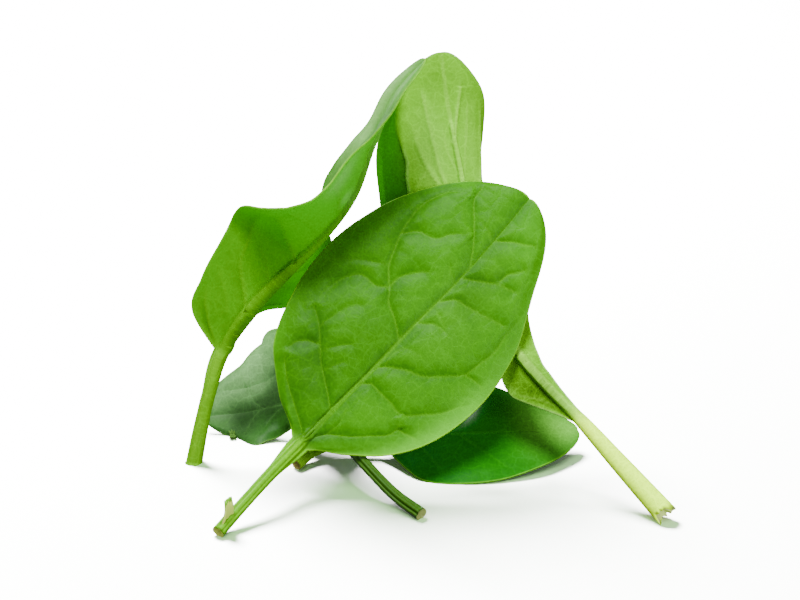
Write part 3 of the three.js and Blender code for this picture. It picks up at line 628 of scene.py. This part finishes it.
def leaf_form(leaf, sizes, seed):
    """Every row and column of one leaf: where its two faces are, and what its skin is like there."""
    spine, base = leaf["spine"], leaf["blade_at"]
    last = len(spine) - 1
    fine = through_points(spine, np.linspace(0, last, 40 * last + 1))
    run = np.concatenate([[0], np.cumsum(np.linalg.norm(np.diff(fine, axis=0), axis=1))])

    def length_at(s):
        return np.interp(s, np.linspace(0, last, 40 * last + 1), run)

    stalk_length = float(length_at(base))
    blade_length = float(run[-1]) - stalk_length

    stalk_rows = max(int(stalk_length / STALK_ROW_LENGTH), 6)
    even = np.linspace(0, 1, int(blade_length / BLADE_ROW_LENGTH) + 1)
    start = ROWS_START_TURN
    crowd = math.cos(math.pi * start) - np.cos(math.pi * (start + (1 - start) * even))
    s = np.concatenate([np.linspace(0, base, stalk_rows, endpoint=False),
                        base + crowd / (math.cos(math.pi * start) + 1) * (last - base)])
    t = (s - base) / (last - base)
    tb = np.clip(t, 0, 1)
    v = np.linspace(-1, 1, 2 * COLUMNS + 1)
    u = v - COLUMN_CROWDING * np.sin(2 * np.pi * v) / (2 * np.pi)

    middle = through_points(spine, s)
    along = unit(through_points(spine, s + 0.02) - through_points(spine, s - 0.02))
    facing = np.asarray(leaf["facing"], float)
    facing = unit(facing - along * (along @ facing)[:, None])
    left = np.cross(facing, along)

    radius = np.where(t > 0, leaf["stalk_radii"][2] + (leaf["stalk_radii"][3] - leaf["stalk_radii"][2])
                      * np.sqrt(np.clip(t / MIDRIB_END, 0, 1)), stalk_radius(leaf, s))
    rounding = np.sqrt(np.maximum(1 - tb ** leaf["tip_roundness"], 0))
    opening = smooth(STALK_OPENS_FROM, 0, t)
    mean = (station_value(leaf["stations"], 2, tb) + station_value(leaf["stations"], 5, tb)) / 2
    widths, angles, bends = [], [], []
    for column, flat in ((1, -90), (4, 90)):
        w = station_value(leaf["stations"], column, tb) * rounding + MARGIN_MINIMUM
        w = w + np.maximum(radius - w, 0) * (1 - smooth(0.2, 0.3, t))
        widths.append(np.where(t < 0, radius + (w - radius) * opening, w))
        angle = station_value(leaf["stations"], column + 1, tb)
        angles.append(mean + flat + (angle - mean - flat) * opening)
        bends.append(station_value(leaf["stations"], column + 2, tb) * opening)

    def width_at(along_share, across):
        side = [np.interp(along_share, t, w) for w in widths]
        return np.where(across >= 0, side[0], side[1])

    def flat_of(along_share, across):
        return np.stack([across * width_at(along_share, across), along_share * blade_length], -1)

    shape = (len(s), len(u))
    surface = np.zeros(shape + (3,))
    for k, part in ((0, u >= 0), (1, u < 0)):
        across = np.abs(u[part])[None, :]
        x = np.zeros((len(s), across.shape[1]))
        y = np.zeros_like(x)
        for step in range(CROSS_STEPS):
            place = across * (step + 0.5) / CROSS_STEPS
            turn = np.radians(angles[k][:, None] + bends[k][:, None] * smooth(0, 1, place))
            x += np.cos(turn) * across / CROSS_STEPS
            y += np.sin(turn) * across / CROSS_STEPS
        w = widths[k][:, None]
        surface[:, part] = (middle[:, None] + left[:, None] * (x * w)[..., None]
                            + facing[:, None] * (y * w)[..., None])

    half_width = np.where(u[None, :] >= 0, widths[0][:, None], widths[1][:, None])
    place_x = u[None, :] * half_width
    place_y = np.broadcast_to((length_at(s) - stalk_length)[:, None], shape)
    slant = np.where(u[None, :] >= 0, np.gradient(widths[0], length_at(s))[:, None],
                     np.gradient(widths[1], length_at(s))[:, None])
    from_margin = (1 - np.abs(u))[None, :] * half_width / np.sqrt(1 + slant**2)
    from_midrib = np.abs(place_x)

    side, side_strength = lines_near(leaf["veins"], flat_of, place_x, place_y, VEIN_FADE)
    little, little_strength = lines_near(leaf["fine_veins"], flat_of, place_x, place_y, FINE_VEIN_FADE)
    cells = cells_near(place_x, place_y, CELL_SIZE, seed)
    on_blade = smooth(0.0, 0.05, t)[:, None]
    fade = (1 - smooth(0.72, 1, np.abs(u)))[None, :]
    reach = sizes.quilt_reach / MM
    nearest = np.minimum(side, from_midrib)
    valley = np.maximum(side_strength * np.exp(-((side / reach) ** 1.1)),
                        np.exp(-((from_midrib / reach) ** 1.1)))
    valley = np.maximum(valley, 0.5 * little_strength * np.exp(-((little / (0.6 * reach)) ** 1.1)))
    swell = 1 - valley
    crimp = 1 - np.exp(-np.minimum(np.minimum(nearest, little), cells) / 0.7)
    wave = slow_waves(place_x, place_y, seed + 7) * smooth(0.0, 0.3, t)[:, None] * smooth(0, 6, from_midrib)
    quilted = sizes.quilt_height * swell * fade + sizes.crimp_height * crimp * smooth(0, 2.5, from_margin)
    rise = (leaf["quilt"] * quilted + sizes.wave_height * wave) / MM
    for along_share, side_of, reach_along, start_across, height in leaf["lifts"]:
        near = np.exp(-(((t - along_share) / reach_along) ** 2))[:, None]
        rise = rise + height * near * smooth(start_across, 1.15, u * side_of)[None, :] ** 1.3
    # A strip along the left margin: set back by its depth and painted in the upper face's colour on the
    # underside, with a pale line painted along its edge as a highlight.
    strip = np.zeros(shape)
    strip_edge_highlight = np.zeros(shape)
    if leaf["dark_strip_line"]:
        dark_strip_line = np.asarray(leaf["dark_strip_line"])
        beyond = (u[None, :] - np.interp(t, dark_strip_line[:, 0], dark_strip_line[:, 1])[:, None]) * half_width
        softness = (0.35 + 3.2 * smooth(0.73, 0.82, t))[:, None]
        strip = smooth(-0.5, 0.5, beyond / softness) * smooth(0.3, 0.42, t)[:, None]
        strip_edge_highlight = np.exp(-(((beyond + 0.45) / 0.4) ** 2)) * (1 - smooth(0.72, 0.77, t))[:, None]
        strip_edge_highlight = strip_edge_highlight * smooth(0.45, 0.55, t)[:, None]
        rise = rise + leaf["dark_strip_depth"] * strip * smooth(0.2, 1.5, from_margin)
    rise = rise * on_blade

    lengthwise = np.gradient(surface, axis=0)
    crosswise = np.gradient(surface, axis=1)
    normal = unit(np.cross(lengthwise, crosswise)) * leaf["upper"]
    surface = surface + normal * rise[..., None]
    lengthwise = np.gradient(surface, axis=0)
    crosswise = np.gradient(surface, axis=1)
    normal = unit(np.cross(lengthwise, crosswise)) * leaf["upper"]

    r = radius[:, None]
    thicker = (sizes.thickness - sizes.margin_thickness) * smooth(0, 4, from_margin)
    half = (sizes.margin_thickness + thicker) / MM / 2
    edge = np.sqrt(np.maximum(1 - (1 - np.clip(from_margin / MARGIN_ROUNDING, 0, 1)) ** 2, 0))
    sheet = half * edge
    core = np.sqrt(np.maximum(1 - (place_x / r) ** 2, 0))
    soft = np.maximum(1 - (place_x / (1.7 * r)) ** 2, 0) ** 2
    core = (core + (soft - core) * smooth(0, 0.2, t)[:, None]) * (1 - smooth(*MIDRIB_MERGES, t))[:, None]
    sink = smooth(0, MIDRIB_SINKS_BY, t)[:, None] * (r - sizes.thickness / MM / 2)
    handed = 1 if leaf["upper"] > 0 else -1
    groove = 0.3 * r * np.exp(-((place_x - handed * 0.42 * r) / (0.2 * r)) ** 2)
    groove += 0.14 * r * np.exp(-((place_x + handed * 0.5 * r) / (0.18 * r)) ** 2)
    groove *= 1 - smooth(0.25, 0.6, t)[:, None]
    top = np.maximum(sheet, core * r - sink) - groove * edge
    ridge = SIDE_RIDGE_HEIGHT * np.exp(-((side / 0.5) ** 2)) * side_strength * on_blade
    ridge = ridge * smooth(0, 3, from_margin)
    bottom = np.maximum(sheet + ridge, core * (r + sink))
    closed = np.ones(len(s))
    closed[-1] = 0.0
    top, bottom = top * closed[:, None], bottom * closed[:, None]

    vein_width = sizes.vein_width / MM
    vein = side_strength * np.exp(-((side / vein_width) ** 2))
    vein = np.maximum(vein, 0.5 * little_strength * np.exp(-((little / (0.8 * vein_width)) ** 2)))
    midrib = np.exp(-((from_midrib / (0.75 * r)) ** 4)) * (1 - 0.6 * smooth(0.5, 1.0, t)[:, None])
    vein = np.maximum(vein * on_blade, midrib)
    # Soft patches of painted light and shade with some of the tissue's own tone, and soft patches of painted
    # sheen.
    patches = {"painted_light_and_tone_patches": np.zeros(shape), "painted_sheens": np.zeros(shape)}
    for kind, total in patches.items():
        for along_share, across, reach_along, reach_across, amount in leaf[kind]:
            total += amount * np.exp(-(((t[:, None] - along_share) / reach_along) ** 2
                                       + ((u[None, :] - across) / reach_across) ** 2))
    skin = {
        "vein": vein,
        "swell": swell * on_blade,
        "margin": from_margin,
        "stalk": 1 - smooth(-0.03, 0.04, t)[:, None] * np.ones(shape),
        "painted_light_and_tone": patches["painted_light_and_tone_patches"],
        "painted_sheen": patches["painted_sheens"],
        "strip": strip,
        "strip_edge_highlight": strip_edge_highlight,
        "flat_x": place_x,
        "flat_y": place_y,
    }
    return surface, normal, top, bottom, along, skin


def around(upper, lower):
    """One closed round of columns: over the upper face to the left margin and back under the lower face."""
    return np.concatenate([upper, lower[:, -2::-1]], axis=1)


def leaf_mesh(name, leaf, sizes, seed):
    """The leaf as one closed skin: a grid bent round stalk and blade, drawn together at cut and tip."""
    surface, normal, top, bottom, along, skin = leaf_form(leaf, sizes, seed)
    ring = around(surface + normal * top[..., None], surface - normal * bottom[..., None])
    values = {}
    for key, v in skin.items():
        whole = np.broadcast_to(v, top.shape)
        values[key] = around(whole, whole)
    values["under"] = around(np.zeros(top.shape), np.ones(top.shape))
    values["cut"] = np.zeros(values["under"].shape)

    columns = ring.shape[1]
    one_face = np.linspace(-1, 1, top.shape[1])[None, :]
    across = around(one_face, one_face)[0]
    rng = np.random.default_rng(seed + 3)
    phase = rng.uniform(0, 2 * np.pi, 3)
    turn = np.linspace(0, 2 * np.pi, columns)
    ragged = 0.12 * sum(np.sin(k * turn + p) for k, p in zip((3, 5, 8), phase))
    reach = leaf["fork"] * (across**2 + 1.2 * ragged) + 0.25 * ragged
    centre = ring[0].mean(axis=0)
    first = ring[0] - along[0] * reach[:, None]
    cap = []
    for f in CUT_RINGS:
        flat = centre + (first - centre) * f
        flat = flat + along[0] * (leaf["cut_hollow"] * (1 - f * f))
        flat = flat - along[0] * (reach * (f * f - f))[:, None]
        cap.append(flat)
    ring[0] = first
    points = np.concatenate([np.asarray(cap), ring])
    points[..., 0] -= BUNCH_CENTRE[0]
    points[..., 1] -= BUNCH_CENTRE[1]
    points[..., 2] = np.maximum(points[..., 2], 0.0)
    points *= MM
    for key, v in values.items():
        rim = np.repeat(v[:1], len(CUT_RINGS), axis=0)
        if key == "cut":
            rim = np.ones_like(rim)
        values[key] = np.concatenate([rim, v])

    rows = points.shape[0]
    mesh = bmesh.new()
    bmesh.ops.create_grid(mesh, x_segments=columns - 1, y_segments=rows - 1, size=1.0)
    if len(mesh.verts) != rows * columns:
        raise RuntimeError(f"{name}: the grid has {len(mesh.verts)} corners, not {rows * columns}")
    layers = {key: mesh.verts.layers.float.new(key) for key in values}
    for vert in mesh.verts:
        j = round((vert.co.x + 1) / 2 * (columns - 1))
        i = round((vert.co.y + 1) / 2 * (rows - 1))
        vert.co = points[i, j]
        for key, layer in layers.items():
            vert[layer] = float(values[key][i, j])
    bmesh.ops.remove_doubles(mesh, verts=mesh.verts, dist=1e-6)
    bmesh.ops.dissolve_degenerate(mesh, edges=mesh.edges, dist=1e-8)
    bmesh.ops.recalc_face_normals(mesh, faces=mesh.faces)
    return mesh


def add_scrap(mesh, scrap, thickness):
    """A small curled tongue of torn skin, added to the leaf that it hangs on."""
    start, end = (np.asarray(scrap[k], float) for k in ("root", "top"))
    side = unit(np.asarray(scrap["across"], float))
    away = unit(np.cross(side, end - start))
    tongue = bmesh.new()
    bmesh.ops.create_grid(tongue, x_segments=10, y_segments=16, size=1.0)
    for vert in tongue.verts:
        g, f = vert.co.x, (vert.co.y + 1) / 2
        point = start + (end - start) * f + side * g * scrap["half_width"] * (1 - 0.6 * f * f)
        point = point + away * scrap["curl"] * (g * g + math.sin(math.pi * f))
        point += away * 0.12 * math.sin(9 * g + 4 * f)
        point[:2] -= BUNCH_CENTRE
        point[2] = max(point[2], 0.05)
        vert.co = Vector(point) * MM
    bmesh.ops.recalc_face_normals(tongue, faces=tongue.faces)
    bmesh.ops.solidify(tongue, geom=tongue.faces, thickness=thickness)
    bmesh.ops.recalc_face_normals(tongue, faces=tongue.faces)
    part = bpy.data.meshes.new("tongue")
    tongue.to_mesh(part)
    tongue.free()
    before = len(mesh.verts)
    mesh.from_mesh(part)
    mesh.verts.ensure_lookup_table()
    cut = mesh.verts.layers.float["cut"]
    margin = mesh.verts.layers.float["margin"]
    stalk = mesh.verts.layers.float["stalk"]
    for vert in mesh.verts[before:]:
        vert[cut] = 0.7
        vert[margin] = 2.0
        vert[stalk] = 1.0
    bpy.data.meshes.remove(part)


# The skin of a leaf
def add_node(tree, kind, inputs=(), **settings):
    node = tree.nodes.new(kind)
    for key, value in settings.items():
        setattr(node, key, value)
    for key, value in dict(inputs).items():
        socket = node.inputs[key]
        if isinstance(value, bpy.types.NodeSocket):
            tree.links.new(value, socket)
        else:
            socket.default_value = value
    return node


def read(tree, name):
    return add_node(tree, "ShaderNodeAttribute", attribute_name=name).outputs["Fac"]


def calc(tree, operation, a, b=0.0):
    return add_node(tree, "ShaderNodeMath", {0: a, 1: b}, operation=operation).outputs[0]


def blend_colour(tree, factor, a, b, kind="MIX"):
    node = add_node(tree, "ShaderNodeMix", {0: factor, 6: a, 7: b}, data_type="RGBA", blend_type=kind,
                    clamp_factor=True)
    return node.outputs[2]


def ramp(tree, value, low, high, low_out=0.0, high_out=1.0):
    node = add_node(tree, "ShaderNodeMapRange", {"Value": value, "From Min": low, "From Max": high,
                                                 "To Min": low_out, "To Max": high_out},
                    interpolation_type="SMOOTHSTEP")
    return node.outputs["Result"]


def rgba(c):
    return (c[0], c[1], c[2], 1.0)


def leaf_material(name, looks):
    """Fresh leaf skin: swollen tissue with a fine net of veins, a bright margin, a ribbed stalk and a cut, with
    painted shade in its hollows and patches of painted light, shade and sheen.
    """
    material = bpy.data.materials.new(name)
    material.use_nodes = True
    tree = material.node_tree
    tree.nodes.clear()
    vein, swell, margin = read(tree, "vein"), read(tree, "swell"), read(tree, "margin")
    stalk, under, cut, painted_light_and_tone = (read(tree, k) for k in ("stalk", "under", "cut", "painted_light_and_tone"))
    painted_sheen, strip, strip_edge_highlight = (read(tree, k) for k in ("painted_sheen", "strip", "strip_edge_highlight"))
    flat = add_node(tree, "ShaderNodeCombineXYZ", {0: read(tree, "flat_x"), 1: read(tree, "flat_y")})
    flat = flat.outputs[0]

    cloud = add_node(tree, "ShaderNodeTexNoise", {"Vector": flat, "Scale": 0.16, "Detail": 3.0,
                                                  "Roughness": 0.55}).outputs["Fac"]
    grain = add_node(tree, "ShaderNodeTexNoise", {"Vector": flat, "Scale": 1.9, "Detail": 4.0,
                                                  "Roughness": 0.7}).outputs["Fac"]
    wander = add_node(tree, "ShaderNodeTexNoise", {"Vector": flat, "Scale": 0.5,
                                                   "Detail": 2.0}).outputs["Color"]
    bent = add_node(tree, "ShaderNodeVectorMath", {0: flat, 1: wander}, operation="ADD").outputs[0]
    net = add_node(tree, "ShaderNodeTexVoronoi", {"Vector": bent, "Scale": 0.42, "Randomness": 1.0},
                   feature="DISTANCE_TO_EDGE").outputs["Distance"]
    fine_net = add_node(tree, "ShaderNodeTexVoronoi", {"Vector": bent, "Scale": 1.15, "Randomness": 1.0},
                        feature="DISTANCE_TO_EDGE").outputs["Distance"]
    net_line = ramp(tree, net, 0.0, 0.09, 1.0, 0.0)
    fine_line = ramp(tree, fine_net, 0.0, 0.12, 1.0, 0.0)
    mesh_line = calc(tree, "ADD", calc(tree, "MULTIPLY", net_line, 0.16),
                     calc(tree, "MULTIPLY", fine_line, 0.08))

    # The upper face is painted darker in the hollows by the veins, as painted shade, and in random clouds.
    hollow_shade_and_mottle = calc(tree, "ADD", calc(tree, "MULTIPLY", swell, 0.45), calc(tree, "MULTIPLY", cloud, 0.9))
    hollow_shade_and_mottle = ramp(tree, hollow_shade_and_mottle, 0.3, 1.0)
    upper = blend_colour(tree, hollow_shade_and_mottle, rgba(looks.upper_shaded_and_mottled), rgba(looks.upper))
    vein_mask = calc(tree, "MULTIPLY", vein, 0.6)
    upper = blend_colour(tree, vein_mask, upper, rgba(looks.vein))
    lower = blend_colour(tree, ramp(tree, cloud, 0.3, 0.7), rgba(looks.under), rgba(looks.under_deep))
    # On the underside, the strip along the left margin is painted in the upper face's colour.
    lower = blend_colour(tree, calc(tree, "MULTIPLY", strip, 0.95), lower, upper)
    lower = blend_colour(tree, calc(tree, "MULTIPLY", vein_mask, 1.1), lower, rgba(looks.vein))
    # Painted highlight: a pale line in the margin colour along the edge of the strip, where its ridge catches the
    # light.
    lower = blend_colour(tree, calc(tree, "MULTIPLY", strip_edge_highlight, 0.75), lower, rgba(looks.margin))
    tissue = blend_colour(tree, under, upper, lower)
    # Painted sheen: pale patches that stand in for light glancing off the skin.
    tissue = blend_colour(tree, painted_sheen, tissue, rgba(looks.painted_sheen))
    tissue = blend_colour(tree, ramp(tree, margin, 0.1, 0.45, 0.85, 0.0), tissue, rgba(looks.margin))
    ribs = add_node(tree, "ShaderNodeMapping", {"Vector": flat, "Scale": (3.2, 0.12, 1.0)}).outputs[0]
    fibre = add_node(tree, "ShaderNodeTexNoise", {"Vector": ribs, "Scale": 1.0, "Detail": 3.0,
                                                  "Roughness": 0.6}).outputs["Fac"]
    skin = blend_colour(tree, ramp(tree, fibre, 0.35, 0.7), rgba(looks.stalk_deep), rgba(looks.stalk))
    skin = blend_colour(tree, 0.45, rgba(looks.stalk), skin)
    whole = blend_colour(tree, stalk, tissue, skin)
    whole = blend_colour(tree, cut, whole, rgba(looks.cut))
    mottle = ramp(tree, grain, 0.3, 0.7, -0.1, 0.1)
    # Brightness from the patches of painted light and shade with some tissue tone, the vein net and random
    # mottle.
    bright = calc(tree, "ADD", calc(tree, "ADD", 1.0, painted_light_and_tone), calc(tree, "ADD", mesh_line, mottle))
    shade = add_node(tree, "ShaderNodeCombineXYZ", {0: bright, 1: bright, 2: bright}).outputs[0]
    whole = blend_colour(tree, 1.0, whole, shade, "MULTIPLY")

    height = calc(tree, "SUBTRACT", calc(tree, "MULTIPLY", grain, 0.5), mesh_line)
    height = calc(tree, "ADD", height, calc(tree, "MULTIPLY", calc(tree, "MULTIPLY", fibre, stalk), 1.2))
    bump = add_node(tree, "ShaderNodeBump", {"Height": height, "Strength": 0.35,
                                             "Distance": 0.0002}).outputs[0]
    gloss = ramp(tree, grain, 0.2, 0.8, 0.36, 0.5)
    rough = add_node(tree, "ShaderNodeMix", {0: under, 2: gloss, 3: 0.6}, data_type="FLOAT").outputs[0]
    surface = add_node(tree, "ShaderNodeBsdfPrincipled", {"Base Color": whole, "Roughness": rough,
                                                          "Specular IOR Level": looks.shine, "Normal": bump})
    glow = blend_colour(tree, calc(tree, "MULTIPLY", vein, 0.5), rgba(looks.glow), whole)
    passing = add_node(tree, "ShaderNodeBsdfTranslucent", {"Color": glow, "Normal": bump})
    through = calc(tree, "MULTIPLY", looks.through, ramp(tree, stalk, 0.0, 1.0, 1.0, 0.35))
    shader = add_node(tree, "ShaderNodeMixShader", {0: through, 1: surface.outputs[0], 2: passing.outputs[0]})
    output = add_node(tree, "ShaderNodeOutputMaterial")
    tree.links.new(shader.outputs[0], output.inputs["Surface"])
    return material


def grow(context, node, leaf, looks, seed, scraps=()):
    """Grow one leaf, give it its skin and let it stand for its node."""
    sizes = context.scene.spinach_blade
    mesh = leaf_mesh(node, leaf, sizes, seed)
    for scrap in scraps:
        add_scrap(mesh, scrap, SCRAP_THICKNESS * MM)
    data = bpy.data.meshes.new(node + "_fresh")
    mesh.to_mesh(data)
    mesh.free()
    data.shade_smooth()
    piece = bpy.data.objects.new(node + "_fresh", data)
    context.scene.collection.objects.link(piece)
    data.materials.append(leaf_material(node + "_skin", looks))
    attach(piece, "root")
    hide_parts(node)


# The operators, one for each leaf or pair of floor leaves and one for the stage
class SPINACH_OT_front_leaf(bpy.types.Operator):
    """Grow the large leaf in front"""
    bl_idname = "spinach.front_leaf"
    bl_label = "Front leaf"

    def execute(self, context):
        grow(context, "front_leaf", FRONT_LEAF, context.scene.spinach_front, 11, (FRONT_STALK_SCRAP,))
        return {"FINISHED"}


class SPINACH_OT_left_leaf(bpy.types.Operator):
    """Grow the tall twisted leaf on the left"""
    bl_idname = "spinach.left_leaf"
    bl_label = "Left leaf"

    def execute(self, context):
        grow(context, "left_leaf", LEFT_LEAF, context.scene.spinach_left, 23)
        return {"FINISHED"}


class SPINACH_OT_back_leaf(bpy.types.Operator):
    """Grow the upright leaf at the back with its thick pale stalk"""
    bl_idname = "spinach.back_leaf"
    bl_label = "Back leaf"

    def execute(self, context):
        grow(context, "back_leaf", BACK_LEAF, context.scene.spinach_back, 37)
        return {"FINISHED"}


class SPINACH_OT_floor_leaves(bpy.types.Operator):
    """Grow the two leaves that lie on the surface"""
    bl_idname = "spinach.floor_leaves"
    bl_label = "Floor leaves"

    def execute(self, context):
        grow(context, "right_floor_leaf", RIGHT_FLOOR_LEAF, context.scene.spinach_right_floor, 41)
        grow(context, "left_floor_leaf", LEFT_FLOOR_LEAF, context.scene.spinach_left_floor, 59,
             (LEFT_MARGIN_SCRAP,))
        return {"FINISHED"}


def area_light(context, name, place, aim, size, watts, tint):
    """A round soft light, aimed at a point."""
    data = bpy.data.lights.new(name, "AREA")
    data.shape = "DISK"
    data.size = size
    data.energy = watts
    data.color = tint
    light = bpy.data.objects.new(name, data)
    light.location = place
    light.rotation_euler = (Vector(aim) - Vector(place)).to_track_quat("-Z", "Y").to_euler()
    context.scene.collection.objects.link(light)
    return light


class SPINACH_OT_stage(bpy.types.Operator):
    """Set the pale floor, the soft lights and the camera"""
    bl_idname = "spinach.stage"
    bl_label = "Stage"

    def execute(self, context):
        looks = context.scene.spinach_stage
        ground = bmesh.new()
        bmesh.ops.create_grid(ground, x_segments=1, y_segments=1, size=FLOOR_HALF_WIDTH)
        data = bpy.data.meshes.new("floor")
        ground.to_mesh(data)
        ground.free()
        floor = bpy.data.objects.new("floor", data)
        context.scene.collection.objects.link(floor)
        paint = bpy.data.materials.new("pale_floor")
        paint.use_nodes = True
        shader = paint.node_tree.nodes["Principled BSDF"]
        shader.inputs["Base Color"].default_value = rgba(looks.floor)
        shader.inputs["Roughness"].default_value = 0.6
        shader.inputs["Specular IOR Level"].default_value = 0.2
        data.materials.append(paint)
        floor.visible_diffuse = False
        floor.visible_glossy = False
        floor.visible_transmission = False

        world = bpy.data.worlds.new("soft_air")
        world.use_nodes = True
        world.node_tree.nodes["Background"].inputs["Color"].default_value = rgba(looks.air)
        world.node_tree.nodes["Background"].inputs["Strength"].default_value = AIR_STRENGTH
        context.scene.world = world

        receivers = {"floor": bpy.data.collections.new("floor_light_receivers"),
                     "leaves": bpy.data.collections.new("leaf_light_receivers")}
        for thing in context.scene.objects:
            if thing.type == "MESH":
                receivers["floor" if thing == floor else "leaves"].objects.link(thing)
        for name, place, aim, size, watts, tint, receiver in LIGHTS:
            light = area_light(context, name, place, aim, size, watts, tint)
            light.light_linking.receiver_collection = receivers[receiver]

        target = (Vector(VIEW_TARGET) - Vector((*BUNCH_CENTRE, 0.0))) * MM
        pitch = looks.camera_pitch
        away = Vector((0.0, -math.cos(pitch), math.sin(pitch)))
        lens = bpy.data.cameras.new("camera")
        lens.lens = looks.focal_length
        lens.sensor_width = FILM_WIDTH
        camera = bpy.data.objects.new("camera", lens)
        camera.location = target + away * looks.camera_distance
        camera.rotation_euler = (math.pi / 2 - pitch, 0.0, 0.0)
        context.scene.collection.objects.link(camera)
        context.scene.camera = camera
        return {"FINISHED"}


class SPINACH_PT_bunch(bpy.types.Panel):
    """Grow the bunch piece by piece"""
    bl_label = "Spinach bunch"
    bl_idname = "SPINACH_PT_bunch"
    bl_space_type = "VIEW_3D"
    bl_region_type = "UI"
    bl_category = "Spinach"

    def draw(self, context):
        for operator in OPERATORS:
            self.layout.operator(operator.bl_idname)


OPERATORS = (SPINACH_OT_front_leaf, SPINACH_OT_left_leaf, SPINACH_OT_back_leaf, SPINACH_OT_floor_leaves,
             SPINACH_OT_stage)
SETTINGS = {
    "spinach_blade": BladeSizes,
    "spinach_front": FrontLeafLooks,
    "spinach_left": LeftLeafLooks,
    "spinach_back": BackLeafLooks,
    "spinach_right_floor": RightFloorLeafLooks,
    "spinach_left_floor": LeftFloorLeafLooks,
    "spinach_stage": StageLooks,
}


def register():
    for name, group in SETTINGS.items():
        bpy.utils.register_class(group)
        setattr(bpy.types.Scene, name, PointerProperty(type=group))
    for cls in OPERATORS + (SPINACH_PT_bunch,):
        bpy.utils.register_class(cls)


def unregister():
    for cls in reversed(OPERATORS + (SPINACH_PT_bunch,)):
        bpy.utils.unregister_class(cls)
    for name, group in reversed(SETTINGS.items()):
        delattr(bpy.types.Scene, name)
        bpy.utils.unregister_class(group)


def main():
    register()
    bpy.ops.spinach.front_leaf()
    bpy.ops.spinach.left_leaf()
    bpy.ops.spinach.back_leaf()
    bpy.ops.spinach.floor_leaves()
    bpy.ops.spinach.stage()


if __name__ == "__main__":
    main()
